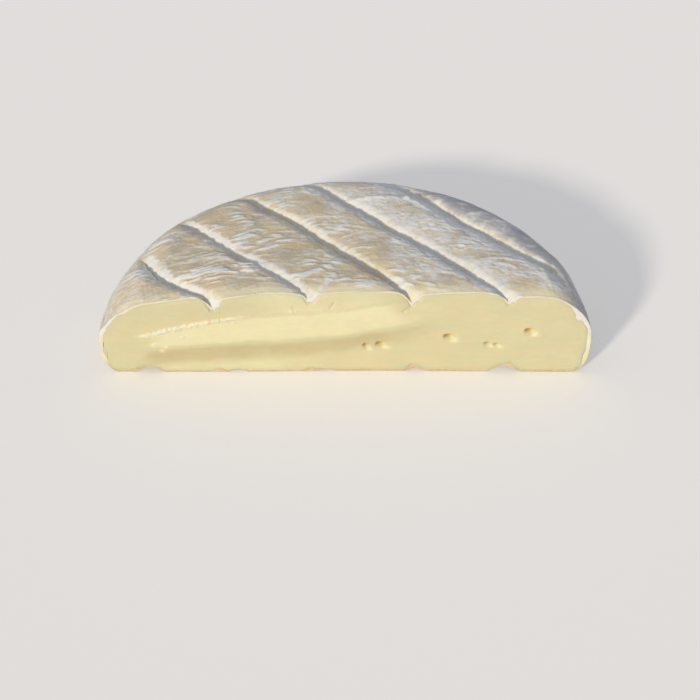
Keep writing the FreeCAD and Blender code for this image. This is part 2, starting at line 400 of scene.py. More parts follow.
rind = {
    "cutColumns": 290,
    "backColumns": 90,
    "topSteps": 196,
    "lowSteps": 34,
    "liningSteps": (14, 5),  # the hidden inside is coarser
    "innerFloor": 3.0,  # behind the cut the inner walls keep above this
    "innerReach": 4.0,
    "edgeRound": 0.2,  # rounding of the cut edge
    "edgeSteps": 3,
    "sharpAngle": math.radians(62),
    "thin": 0.42,  # thickness over the strips
    "thick": 0.7,  # added round the rim
    "heelThick": 0.2,  # added along the bottom
    "flankThick": 0.9,  # added where white mould has grown into a furrow
    # lumps in the thickness: place along the cut, height, how much more, reach
    "lumps": ((-67.0, 13.0, 0.7, 2.2), (66.0, 20.2, 1.7, 1.5), (64.5, 22.5, 0.8, 1.2),
              (67.5, 5.0, 0.9, 2.6)),
    # white mould beside furrow 0 and round: width of the band after it, how softly it ends, how white
    # it is and how white the rounded flank before it is
    "bands": ((2.3, 1.2, 0.95, 0.20), (2.5, 2.2, 0.45, 0.25), (3.2, 7.0, 0.80, 0.40),
              (1.1, 0.8, 0.90, 0.55), (1.2, 1.0, 0.45, 0.20), (2.5, 1.6, 1.00, 0.40)),
    "fadingFurrow": 3,  # this one has no white flank near the cut
    "fadingFrom": 8.0,
    "waveStep": 1.35,  # half of the way from one wrinkle to the next
    "waveBend": 240.0,  # radius of the arcs that they follow
    "waveMiddle": -4.0,  # where along the cut the arcs run level
    "fleck": 1.6,  # size of the flecks, mm
    # places where the mould differs: distance across the furrows and the way over which it sets in
    "rightSide": (20.0, 18.0),
    # the right furrows' rounded flanks and the far strip face away from the light; they get painted shade
    # in slate grey
    "rightRollShade": (24.0, 4.0),
    "farStripShade": (53.5, 2.0),
    "middleStrip": (23.0, 8.0),  # this one is the middle of the strip and its reach
    "leftEnd": (-34.0, 8.0),  # this one is a place along the cut
    # and places by x, y and reach: one strip is folded more, the end of another is rippled
    "foldedPlace": (-34.0, 17.0, 12.6),
    "rippledPlace": (51.0, 16.0, 8.0),
    "bareEnds": (50.0, 8.0, 16.0),  # both ends near the cut: from here, over this, this far back
    # small rings of mould on the top: x, y, radius
    "rings": ((32.3, 6.5, 1.5), (15.3, 27.2, 1.3), (7.6, 17.4, 1.9), (33.0, 23.1, 1.6), (-23.5, 9.0, 1.4)),
    "ringWidth": 0.45,
    # thin folds: from x, y to x, y, width, height
    "folds": ((19.5, 14.9, 26.3, 2.7, 0.9, -0.18), (-2.0, 50.4, 18.5, 50.0, 0.9, 0.35),
              (18.5, 50.0, 24.5, 44.0, 0.9, 0.35), (54.6, 17.9, 57.0, 5.0, 0.8, 0.25),
              (-7.5, 0.8, -3.0, 7.5, 0.9, 0.3), (-58.0, 14.0, -50.0, 21.0, 0.8, 0.2)),
    "pits": ((35.5, 13.4, 1.0), (7.0, 39.0, 0.7), (-3.0, 33.0, 0.8)),
    "stains": ((-41.0, 12.0, 4.5), (-36.5, 7.0, 4.0), (-13.0, 44.0, 5.0), (10.0, 9.0, 4.0)),
}

# heights of the relief in mm
rindHeights = {
    "wrinkle": 0.27,
    "foldedWrinkle": 0.14,  # added where a strip is folded more
    "hair": 0.06,
    "fleck": 0.13,
    "bump": 0.24,  # on the white flanks, and more of it at the cut
    "scallop": 0.32,  # along the rounded flanks
    "fineScallop": 0.2,
    "lump": 0.12,
    "grit": 0.05,
    "ring": 0.22,
    "pit": 0.35,
}

# noise: size along x, y and z in mm, and seed
rindNoise = {
    "warp": (12, 12, 12, 21),
    "arcWarp": (5, 5, 5, 20),
    "patch": (11, 7, 10, 31),
    "blotch": (8, 6, 8, 61),
    "rightWhite": (3.5, 2.6, 8, 62),
    "crumble": (1.5, 1.5, 1.5, 29),
    "ochre": (7, 4.5, 8, 71),
    "edgeCream": (6, 4, 8, 72),
    "creamSpots": (9, 5, 8, 73),
    "bumps": (1.5, 1.5, 1.5, 24),
    "lumps": (4.5, 4.5, 4.5, 52),
    "grit": (1.3, 1.3, 1.3, 51),
}


def furrowBands(across, along, climb):
    # share of white mould on the flank after each furrow, share of the rounded flank before it and how
    # white that is; edges wander with noise along the furrow
    white, roll, pale = np.zeros((3, *across.shape))
    slow = noise(along / 6.0, across / 15.0, 0.0, 22)
    quick = noise(along / 1.4, across / 2.0, 0.0, 23)
    fromCut = behindCut(across, along)
    for k, place, depth, rollWidth, atCut in furrowList():
        width, reach, share, rollShare = rind["bands"][k % len(rack["uneven"])]
        deep = min(1.0, depth / 3.0)
        if k == rind["fadingFurrow"]:
            deep = deep * smooth((fromCut - rind["fadingFrom"]) / 8)
        past = across - place - strayOf(k, fromCut)
        wide = width * (1 + 0.3 * slow + 0.35 * quick)
        band = smooth((past + 0.35) / 0.5) * (1 - smooth((past - wide) / reach + 0.5))
        white = np.maximum(white, band * deep * share * (0.85 + 0.3 * slow + 0.2 * quick))
        flank = smooth((past + rollWidth) / (0.5 * rollWidth)) * (1 - smooth((past + 0.1) / 0.5))
        roll = np.maximum(roll, flank * deep)
        pale = np.maximum(pale, flank * deep * rollShare)
    inside = smooth((climb - 0.70) / 0.2)
    return white * inside, roll * inside, pale * inside


def wrinkleNoise(x, y, z, top):
    # noise drawn out along the wrinkles, coarse and fine: wide arcs over the top, level round the rim
    warp = spots(rindNoise["warp"], x, y, z)
    arc = (y + (x - rind["waveMiddle"]) ** 2 / (2 * rind["waveBend"])) / rind["waveStep"] + 1.3 * warp
    arc += 0.5 * spots(rindNoise["arcWarp"], x, y, z)
    level = z / rind["waveStep"] + 0.6 * warp
    around = wheel["radius"] * np.arctan2(y, x)
    streak = top * noise(x / 4.6 + 0.6 * warp, arc, y / 30, 5)
    streak += (1 - top) * noise(around / 5.0, level, 0.0, 6)
    fine = top * noise(x / 2.0 + 7.3, 1.8 * arc, y / 20, 9)
    fine += (1 - top) * noise(around / 2.2, 1.8 * level, 0.0, 10)
    return streak, fine


def fleckNoise(x, y, z):
    # curly spots: two sizes of noise, read at places that noise has pushed aside
    size = rind["fleck"]
    bendX = x + 0.6 * noise(x / size, y / size, z / size, 41)
    bendY = y + 0.6 * noise(x / size, y / size, z / size, 42)
    coarse = 0.8 * noise(bendX / (1.2 * size), bendY / (0.75 * size), z / size, 43)
    return coarse + 0.4 * noise(bendX / (0.5 * size), bendY / (0.35 * size), z / size, 44)


def setsIn(across, name):
    # 0 to 1 across the furrows, from the start and over the way that the rind's values give
    start, way = rind[name]
    return smooth((across - start) / way)


def rindFields(points, across, turn, climb, lower):
    # noise for wrinkles and flecks, and how strongly each kind of mould and each tone shows, painted shade
    # among them
    x, y = points[..., 0], points[..., 1]
    plain = wheel["girthHeight"] + climb * (wheel["height"] - wheel["girthHeight"])
    z = np.where(lower, points[..., 2], plain)
    along = alongOf(across, turn)
    top = np.where(lower, 0, smooth((climb - 0.55) / 0.35))
    rim = 1 - top
    streak, fine = wrinkleNoise(x, y, z, top)
    fleck = fleckNoise(x, y, z)
    white, roll, pale = furrowBands(across, along, np.where(lower, 0, climb))
    # the mould is patchy where a furrow meets the cut
    patchy = smooth(0.35 + 1.6 * spots(rindNoise["crumble"], x, y, z))
    white *= 1 - 0.5 * hump(y, 4.5) * patchy

    # soft masks of places
    fromCut = smooth(y / 4.0)
    leftFrom, leftWay = rind["leftEnd"]
    toLeft = smooth((leftFrom - x) / leftWay)
    leftHalf, rightHalf = x < 0, x > 0
    toRight = setsIn(across, "rightSide")
    farStripShade = setsIn(across, "farStripShade")
    stripMiddle, stripReach = rind["middleStrip"]
    middleStrip = hump(across - stripMiddle, stripReach)
    folded = near(x, y, rind["foldedPlace"], 1.4)
    rippled = near(x, y, rind["rippledPlace"], 1.2)
    endFrom, endWay, endBack = rind["bareEnds"]
    bare = hump(y, endBack) * smooth((np.abs(x) - endFrom) / endWay)
    patch = smooth(0.42 + 1.3 * spots(rindNoise["patch"], x, y, z))
    blotch = smooth(0.5 + 1.1 * spots(rindNoise["blotch"], x, y, z))
    calm = 1 - 0.75 * white - 0.35 * roll

    # wrinkles: in patches, fewer to the right, at the cut and on the rim
    streakShare = (0.2 + 0.8 * patch + 0.5 * folded) * (1 - 0.7 * toRight) * (1 - 0.4 * middleStrip)
    streakShare = streakShare * calm + 0.7 * rippled
    streakShare *= 0.3 + 0.4 * toLeft + (0.7 - 0.4 * toLeft) * fromCut
    streakShare *= (1 - 0.4 * rim) * (1 - 0.2 * bare * leftHalf)
    # flecks: mostly to the right, none at the cut, a few on the rim, and fewer on the far strip, which is
    # darkened as painted shade
    fleckShare = (0.10 + 0.35 * middleStrip + 0.90 * toRight) * (0.2 + 0.8 * blotch)
    fleckShare *= calm * fromCut * top * (1 - 0.6 * rippled)
    fleckShare = fleckShare * (1 - 0.85 * farStripShade) + 0.3 * rim + 0.35 * bare * leftHalf * top

    # tones: ochre in spots and stains, cream near the cut, beside one furrow and in spots
    stain = sum(near(x, y, place, 1.3) for place in rind["stains"])
    ochre = smooth(0.1 + 0.8 * spots(rindNoise["ochre"], x, y, z)) * (1 - toRight) * 0.45 + 0.7 * stain
    cream = hump(y, 4.5) * (1 - 0.4 * toLeft) * (0.85 + 0.5 * spots(rindNoise["edgeCream"], x, y, z))
    cream = np.maximum(cream, 0.9 * hump(across - 16, 4.0) * white / 0.45)
    creamSpots = smooth(0.25 + 1.0 * spots(rindNoise["creamSpots"], x, y, z))
    cream = np.maximum(cream, creamSpots * (0.35 + 0.35 * toRight))
    # the right side and the rim are whiter, apart from both ends near the cut, and less so on the far
    # strip, as painted shade
    rightWhite = smooth(1.6 * spots(rindNoise["rightWhite"], x, y, z))
    white = np.maximum(white, 0.5 * toRight * top * fromCut * rightWhite)
    far = 0.4 * rim + 0.25 * smooth((y - 42) / 20)
    far *= (1 - 0.85 * bare) * (1 - 0.6 * farStripShade * top) * (0.7 + 0.5 * patch)
    white = np.maximum(white, far)
    # painted shade: slate grey on the far strip, the right end of the rim and the right furrows' rounded
    # flanks, which face away from the light
    slateShade = 0.9 * farStripShade * (1 - 0.75 * rim) * (1 - white) + 0.8 * bare * rim * rightHalf
    slateShade += 0.8 * roll * setsIn(across, "rightRollShade")
    white = np.maximum(white, 2.0 * np.clip(markFolds(x, y), 0, 0.4) * top)
    return {
        "x": x, "y": y, "z": z, "along": along, "top": top, "rim": rim, "lower": lower,
        "streak": streak, "fine": fine, "fleck": fleck, "folded": folded,
        "streakShare": np.clip(streakShare, 0, 1.3), "fleckShare": np.clip(fleckShare, 0, 1),
        "white": np.clip(white + pale, 0, 1), "band": white, "roll": roll,
        "ochre": np.clip(ochre * (1 - white) * top, 0, 1), "cream": np.clip(cream * top, 0, 1),
        "slateShade": np.clip(slateShade, 0, 1),
    }


def markRings(x, y):
    # raised rings: a bell round each ring's circle, with a hollow inside
    total = np.zeros_like(x)
    for ringX, ringY, radius in rind["rings"]:
        away = np.hypot(x - ringX, 1.25 * (y - ringY))
        total += hump(away - radius, rind["ringWidth"]) - 0.5 * hump(away, 0.7 * radius)
    return total


def markFolds(x, y):
    # ridges or creases: a bell across the distance to each straight stretch
    total = np.zeros_like(x)
    for *line, width, height in rind["folds"]:
        total += height * hump(awayFromLine(x, y, line), width)
    return total


def rindRelief(field):
    # the mould's relief in mm: wrinkles along the crests of their noise, flecks, bumps on the white
    # flanks, scallops along the rounded ones, soft lumps all over, and the odd ring, fold and pit
    x, y, z, along, roll = (field[key] for key in ("x", "y", "z", "along", "roll"))
    high = rindHeights
    wrinkles = high["wrinkle"] + high["foldedWrinkle"] * field["folded"]
    wrinkles *= smooth((field["streak"] + 0.25) / 0.7)
    wrinkles += high["hair"] * smooth((field["fine"] + 0.3) / 0.7)
    flecks = high["fleck"] * smooth((field["fleck"] + 0.4) / 0.6)
    bumps = high["bump"] * spots(rindNoise["bumps"], x, y, z) * field["band"] * (1 + 1.5 * hump(y, 3.0))
    scallops = high["scallop"] * noise(along / 3.0, roll * 1.5, 0.0, 25)
    scallops += high["fineScallop"] * noise(along / 1.2, roll * 2.5, 0.0, 28)
    lumps = high["lump"] * spots(rindNoise["lumps"], x, y, z)
    lumps += high["grit"] * spots(rindNoise["grit"], x, y, z)
    pits = sum(near(x, y, place, 1.3) for place in rind["pits"])
    marks = high["ring"] * markRings(x, y) + markFolds(x, y) - high["pit"] * pits
    relief = wrinkles * field["streakShare"] + flecks * field["fleckShare"]
    relief += bumps + scallops * roll + lumps
    relief += np.where(field["lower"], 0, marks * field["top"])
    # it fades out to the flat bottom
    return relief * np.where(field["lower"], smooth((z - 0.5) / 3.0), 1)


def rindThickness(points, climb, across):
    # thin over the strips, thicker round the rim and where mould fills a furrow, with a few lumps
    x, z = points[..., 0], points[..., 2]
    rim = (1 - smooth((climb - 0.25) / 0.45)) * smooth((z - 1.0) / 4.0)
    ragged = 1 + 0.45 * noise(x / 3.0, z / 2.2, 0.0, 26) + 0.45 * noise(x / 1.1, z / 1.1, 0.0, 27)
    thick = (rind["thin"] + rind["thick"] * rim + rind["heelThick"] * hump(z, 2.0)) * ragged
    for k, place, depth, roll, atCut in furrowList():
        aside = strayOf(k, points[..., 1])
        grown = rind["flankThick"] * hump(across - place - aside - 1.0, 1.1) * min(1.0, depth / 3.0)
        thick += grown * ragged * smooth((climb - 0.6) / 0.3)
    for lumpX, lumpZ, more, reach in rind["lumps"]:
        thick += more * near(x, z, (lumpX, lumpZ, reach))
    return thick


def innerWall(cutColumns, backColumns, ways, overlap):
    # the skin moved inwards by the rind's thickness less the overlap; its steps are coarse, so behind
    # the cut it keeps above the underside's grooves
    across, turn, lower = sectionGrid(cutColumns, backColumns, ways)
    skin, climb = wheelSkin(across, turn, lower)
    normal = unitNormals(skin, cutColumns)
    normal[[0, -1], :cutColumns, 1] = 0
    normal /= np.linalg.norm(normal, axis=-1, keepdims=True)
    skin = pressToCut(skin)
    wall = skin - normal * (rindThickness(skin, climb, across) - overlap)[..., None]
    floor = rind["innerFloor"] * smooth(wall[..., 1] / rind["innerReach"])
    wall[..., 2] = np.maximum(wall[..., 2], floor)
    return wall, normal


def edgeRows(skinRow, normalRow):
    # a quarter circle from the skin round to the cut: 1 - cos inwards and sin forwards
    radius = rind["edgeRound"]
    rows = []
    for t in np.linspace(0, 0.5 * math.pi, rind["edgeSteps"] + 1)[1:]:
        inwards = normalRow * radius * (1 - math.cos(t))
        rows.append((skinRow - inwards - np.array([0, radius * math.sin(t), 0]))[None])
    return rows


def makeRind():
    # a closed shell: the skin with its relief, a rounded edge at the cut, and a lining
    cutColumns, backColumns = rind["cutColumns"], rind["backColumns"]
    edge, steps = rind["edgeRound"], rind["edgeSteps"]
    across, turn, lower = sectionGrid(cutColumns, backColumns, waysOf(rind["topSteps"], rind["lowSteps"]))
    skin, climb = wheelSkin(across, turn, lower)
    normal = unitNormals(skin, cutColumns)
    skin = pressToCut(skin)
    field = rindFields(skin, across, turn, climb, lower)
    outer = skin + normal * rindRelief(field)[..., None]
    outer[..., 2] = np.maximum(outer[..., 2], 0.0)
    outer[..., 1] += edge * np.exp(-np.maximum(outer[..., 1], 0) / 1.5)
    inside, flatNormal = innerWall(cutColumns, backColumns, waysOf(*rind["liningSteps"]), 0.0)
    underEdge = edgeRows(outer[-1], flatNormal[-1])
    topEdge = edgeRows(outer[0], flatNormal[0])
    points = np.concatenate([outer, *underEdge, inside[::-1], *reversed(topEdge)])
    extra = len(points) - len(outer)

    # the cut edge is white in the furrows and at the rim, and cream over the strips
    edgeWhite = np.clip(0.2 + field["band"][0] + 0.7 * field["rim"][0], 0, 0.95)
    lowEdge = np.arange(extra)[:, None] < steps + rind["liningSteps"][1] + 1
    edgeWhite = np.where(lowEdge, 0.15, edgeWhite)
    # the ochre along the bottom is partly the bottom skin's own colour and partly a painted warm shadow
    # along the bottom edge
    under = hump(outer[-1, :, 2], 3.0) * lowEdge  # ochre along the bottom
    none, full = np.zeros_like(edgeWhite), np.ones_like(edgeWhite)
    values = {}
    for name, keys, onEdge in (("waves", ("streak", "fine", "fleck"), (full, full, -full)),
                               ("shares", ("streakShare", "fleckShare", "white"), (none, none, edgeWhite)),
                               ("tones", ("ochre", "cream", "slateShade"), (under, 1.0 - under, none))):
        onSkin = np.stack([field[key] for key in keys], -1)
        values[name] = np.concatenate((onSkin, np.stack(onEdge, -1)))
    # behind the cut there is no edge, so those strips are left out
    drop = np.zeros((len(points), points.shape[1] - 1), bool)
    drop[len(outer) - 1:len(outer) + steps, cutColumns - 1:] = True
    drop[-steps - 1:, cutColumns - 1:] = True
    piece = gridMesh("rind", toFrame(points), values, drop)
    piece.data.set_sharp_from_angle(angle=rind["sharpAngle"])
    return piece


paste = {
    "cutColumns": 560,
    "backColumns": 60,
    "faceSteps": 118,
    "bodySteps": (22, 8),
    "overlap": 0.2,  # how far the paste reaches into the rind's wall
    "proud": 0.14,  # the soft face swells this far past the rind's edge, but for its rim
    "proudRim": 1.3,
    "sunkRim": 0.02,
    # knots of the ridge that the knife dragged: distance along the cut and height
    "smear": ((-61, 12.2), (-37, 18.3), (-28, 19.8), (-2, 21.8), (15, 24.7)),
    "smearEnds": (-60.0, 17.0),
    "lip": 0.45,  # height of the ridge's crumbly lip and of the step at it
    "step": 0.28,
    # middle of the shallow hollow that it left below, darkened with painted shade: distance along the cut
    # and height
    "band": ((-58, 5.2), (-42, 6.8), (-18, 8.0), (0, 10.3), (8, 12.0), (22, 15.0), (60, 17.0)),
    "hollow": 0.26,  # depth of that band
    # gas holes: place along the cut, height, width, height of the hole, depth
    "eyes": ((6.2, 9.2, 2.8, 2.5, 1.5), (10.4, 9.9, 4.0, 2.5, 1.7), (29.5, 12.7, 4.2, 2.8, 1.9),
             (40.4, 10.2, 3.2, 2.0, 1.1), (43.0, 9.9, 3.0, 1.8, 0.9), (52.1, 14.4, 4.0, 2.8, 1.9)),
    "eyeRim": 0.16,  # height of the lip at a hole's lower right
    "deepest": 1.9,
    # short cracks: from x, z to x, z
    "cracks": ((-37.0, 23.6, -36.6, 21.8), (18.2, 23.0, 16.2, 21.4), (-3.0, 24.4, -4.0, 22.8),
               (-14.6, 23.0, -14.2, 22.5)),
    "crackWidth": 0.35,
    "crackDepth": 0.25,
    "crumbs": ((-53.6, 10.0, 0.8), (-51.4, 7.9, 0.8), (-50.2, 9.2, 0.5), (-45.5, 12.6, 0.5),
               (-31.0, 17.6, 0.4), (-15.0, 21.6, 0.4)),
    "crumbHeight": 0.25,
    # painted shade below a notch in the top edge: place along the cut, height and reach
    "notchShadePlace": (16.5, 23.0, 2.6),
}

# noise on the face: size along x, z and across in mm, and seed
pasteNoise = {
    "waves": (16, 7, 1, 84),
    "ripples": (6, 2.4, 1, 85),
    "grain": (2.4, 0.8, 1, 86),
    "lineSlow": (4.0, 1, 1, 81),
    "lineQuick": (1.3, 1, 1, 82),
    "lipCrumbs": (1.0, 0.6, 1, 83),
    "holeEdge": (1.3, 1.3, 1, 87),
    "toneSlow": (9, 4, 1, 88),
    "toneQuick": (3, 1.3, 1, 89),
}


def between(x, start, end, startWay, endWay):
    # 1 between start and end, easing in after the one and out before the other
    return smooth((x - start) / startWay) * smooth((end - x) / endWay)


def smearShape(x, z):
    # the dragged ridge: height above its line, its crumbly lip and the step down from it; and the
    # middle of the band below
    smear, band = np.array(paste["smear"]), np.array(paste["band"])
    start, end = paste["smearEnds"]
    line = np.interp(x, smear[:, 0], smear[:, 1])
    line += 0.5 * spots(pasteNoise["lineSlow"], x, 0.0) + 0.3 * spots(pasteNoise["lineQuick"], x, 0.0)
    above = z - line
    span = between(x, start, end, 5, 14)
    strong = 0.12 + 0.88 * between(x, start, -26, 5, 9)
    crumbly = 0.9 + 1.0 * spots(pasteNoise["lipCrumbs"], x, z)
    lip = hump(above, np.where(above > 0, 0.45, 0.8)) * span * strong * crumbly
    fall = (1 - smooth((above + 0.15) / 0.5)) * np.exp(np.minimum(above, 0) / 6.0)
    step = fall * span * (0.1 + 0.9 * strong)
    return above, lip, step, np.interp(x, band[:, 0], band[:, 1])


def eyeShapes(x, z):
    # gas holes: how deep the face lies in them, the painted shade in them, strongest towards the upper
    # left, and where their lips catch the light, painted as a highlight; each is a wide bowl with a
    # smaller one towards its upper left
    holes, holeShade, lit = np.zeros((3, *x.shape))
    wobble = 0.15 * spots(pasteNoise["holeEdge"], x, z)
    for holeX, holeZ, width, tall, deep in paste["eyes"]:
        right, up = (x - holeX) / (0.5 * width), (z - holeZ) / (0.5 * tall)
        far = np.hypot(right, up) + wobble
        core = np.hypot(right + 0.35, up - 0.3) / 0.7 + wobble
        bowl = 0.5 * np.clip(1 - far ** 2, 0, 1) ** 1.3 + 0.5 * np.clip(1 - core ** 2, 0, 1) ** 1.2
        lipOfHole = hump(np.hypot((right - 0.7) / 1.2, (up + 0.75)), 0.55)
        holes = np.maximum(holes, deep * bowl) - paste["eyeRim"] * lipOfHole
        holeShade = np.maximum(holeShade, smooth(1.1 - core) * deep / paste["deepest"])
        lit += lipOfHole
    return holes, holeShade, lit


def faceSurface(x, z, edge):
    # how far the paste stands out of the cut, its tone from -1 pale to 1 deep, with painted shade and
    # highlights in it, and how much painted shade lies in a gas hole
    above, lip, step, middle = smearShape(x, z)
    holes, holeShade, lit = eyeShapes(x, z)
    start, end = paste["smearEnds"]
    hollow = hump(z - middle, 3.4) * between(x, start, 30, 8, 26)
    soft = 0.16 * spots(pasteNoise["waves"], x, z) + 0.08 * spots(pasteNoise["ripples"], x, z)
    soft += 0.025 * spots(pasteNoise["grain"], x, z)
    cracks = sum(hump(awayFromLine(x, z, line), paste["crackWidth"]) for line in paste["cracks"])
    bits = sum(near(x, z, place, 1.2) for place in paste["crumbs"])
    rim = smooth(edge / paste["proudRim"])
    relief = paste["lip"] * lip + paste["step"] * step - paste["hollow"] * hollow + soft
    relief += -paste["crackDepth"] * cracks + paste["crumbHeight"] * bits
    out = paste["proud"] * rim - paste["sunkRim"] - holes + relief * rim

    # pale below the ridge, above its right end and at the bottom left, and with a painted highlight on the
    # gas holes' lit lips;
    # deep at the upper left, and as painted shade in the band's hollow, below one notch and in the cracks
    pale = smooth(-above / 1.2) * smooth((z - middle - 1.2) / 3.5) * between(x, -58, 30, 8, 24)
    paleAbove = 0.4 * between(x, -26, 16, 8, 8) * smooth(above / 1.0)
    paleBelow = 0.45 * smooth((middle - 2.6 - z) / 1.5) * between(x, -58, -2, 6, 20)
    # painted shade on the band's hollow
    bandShade = 0.9 * np.exp(-(np.abs(z - middle) / 3.0) ** 3) * between(x, start, 34, 8, 26)
    upperLeft = 0.15 * smooth(above / 1.0) * smooth((-24 - x) / 8)
    # painted shade below a notch
    notchShade = 0.8 * near(x, z, paste["notchShadePlace"])
    # the cracks are darkened with painted shade
    tone = bandShade + upperLeft + notchShade + 0.25 * cracks - 0.9 * pale - paleAbove - paleBelow
    tone += 0.22 * spots(pasteNoise["toneSlow"], x, z)
    tone += 0.14 * spots(pasteNoise["toneQuick"], x, z)
    # paler on the crumbly lip and the crumbs, and a painted highlight on the gas holes' lower right lips
    tone -= 1.8 * lip + 1.2 * bits + 0.9 * lit
    return out, np.clip(tone, -1.6, 1.3), holeShade


def makePaste():
    # a closed body just inside the rind's wall; its front, the cut face, is straight lines from its top
    # edge to its bottom edge with the face's own relief
    cutColumns, backColumns = paste["cutColumns"], paste["backColumns"]
    body, normal = innerWall(cutColumns, backColumns, waysOf(*paste["bodySteps"]), paste["overlap"])
    part = np.linspace(0, 1, paste["faceSteps"] + 1)[1:-1, None, None]
    face = body[0] * (1 - part) + body[-1] * part
    height = (body[0, :, 2] - body[-1, :, 2])[None, :]
    edge = np.minimum(part[..., 0], 1 - part[..., 0]) * height
    x, z = face[..., 0], face[..., 2]
    edge = np.minimum(edge, np.minimum(x - x.min(), x[:, :cutColumns].max() - x))
    out, tone, holeShade = faceSurface(x, z, edge)
    column = np.arange(face.shape[1])
    onCut = (column > 0) & (column < cutColumns - 1)  # both ends of the cut are single points
    face[..., 1] = np.where(onCut, faceDepth(x, z) - out, face[..., 1])
    points = np.concatenate((body[::-1], face))
    plain = np.zeros(body.shape[:2])
    values = {"tone": np.concatenate((plain, tone)), "holeShade": np.concatenate((plain, holeShade))}
    return gridMesh("paste", toFrame(points), values)


def newMaterial(name):
    # an empty material with its node tree and its shader
    material = bpy.data.materials.new(name)
    material.use_nodes = True
    tree = material.node_tree
    return material, tree, tree.nodes["Principled BSDF"]


def readAttribute(tree, name):
    # the node of one mesh attribute
    node = tree.nodes.new("ShaderNodeAttribute")
    node.attribute_name = name
    return node


def readParts(tree, name):
    # the three parts of a vector attribute
    node = tree.nodes.new("ShaderNodeSeparateXYZ")
    tree.links.new(readAttribute(tree, name).outputs["Vector"], node.inputs[0])
    return node.outputs


def calculate(tree, operation, first, second):
    # one Math node on two sockets or numbers
    node = tree.nodes.new("ShaderNodeMath")
    node.operation = operation
    for slot, value in enumerate((first, second)):
        if isinstance(value, (int, float)):
            node.inputs[slot].default_value = value
        else:
            tree.links.new(value, node.inputs[slot])
    return node.outputs[0]


def weightedSum(tree, *terms):
    # sockets times their weights, added up
    total = None
    for socket, weight in terms:
        part = socket if weight == 1 else calculate(tree, "MULTIPLY", socket, weight)
        total = part if total is None else calculate(tree, "ADD", total, part)
    return total


def spread(tree, value, fromLow, fromHigh, toLow, toHigh):
    # smoothstep from one range to another
    node = tree.nodes.new("ShaderNodeMapRange")
    node.interpolation_type = "SMOOTHSTEP"
    tree.links.new(value, node.inputs["Value"])
    ends = {"From Min": fromLow, "From Max": fromHigh, "To Min": toLow, "To Max": toHigh}
    for name, end in ends.items():
        node.inputs[name].default_value = end
    return node.outputs["Result"]


def mixColour(tree, share, first, second):
    # first where the share is 0, second where it is 1; each is a socket or a colour
    node = tree.nodes.new("ShaderNodeMix")
    node.data_type = "RGBA"
    tree.links.new(share, node.inputs[0])
    for slot, value in ((6, first), (7, second)):
        if isinstance(value, tuple):
            node.inputs[slot].default_value = (*value, 1)
        else:
            tree.links.new(value, node.inputs[slot])
    return node.outputs[2]


def speckle(tree, size, detail=2.0, stretch=(1, 1, 1)):
    # noise on Object coordinates, with the size of its spots in mm
    place = tree.nodes.new("ShaderNodeTexCoord")
    turn = tree.nodes.new("ShaderNodeMapping")
    turn.inputs["Scale"].default_value = stretch
    tree.links.new(place.outputs["Object"], turn.inputs["Vector"])
    node = tree.nodes.new("ShaderNodeTexNoise")
    node.inputs["Scale"].default_value = 1000.0 / size
    node.inputs["Detail"].default_value = detail
    tree.links.new(turn.outputs["Vector"], node.inputs["Vector"])
    return node.outputs["Fac"]


def setSurface(tree, shader, look, colour, height):
    # the look's values, and a bump that is its own value in metres where the height is 1
    tree.links.new(colour, shader.inputs["Base Color"])
    for name, value in look["surface"].items():
        shader.inputs[name].default_value = value
    node = tree.nodes.new("ShaderNodeBump")
    node.inputs["Distance"].default_value = look["bump"]
    tree.links.new(height, node.inputs["Height"])
    tree.links.new(node.outputs["Normal"], shader.inputs["Normal"])


rindLook = {
    "tan": (0.78, 0.62, 0.375),
    "dusk": (0.62, 0.52, 0.37),  # where the skin is thin and grey
    "ochre": (0.70, 0.50, 0.28),
    "cream": (0.90, 0.79, 0.50),
    # painted shade: this slate grey darkens skin that faces away from the light
    "slateShade": (0.455, 0.458, 0.475),  # the far strip and the right end
    "mould": (0.885, 0.85, 0.76),
    "cloudSize": 6.0,  # sizes of the spots in mm
    "hazeSize": 7.0,
    "fuzzSize": 1.1,
    "downSize": 0.4,
    "surface": {"Roughness": 0.82, "Specular IOR Level": 0.3, "Subsurface Weight": 0.15,
                "Subsurface Radius": (1.0, 0.75, 0.5), "Subsurface Scale": 0.001},
    "bump": 0.00016,
}


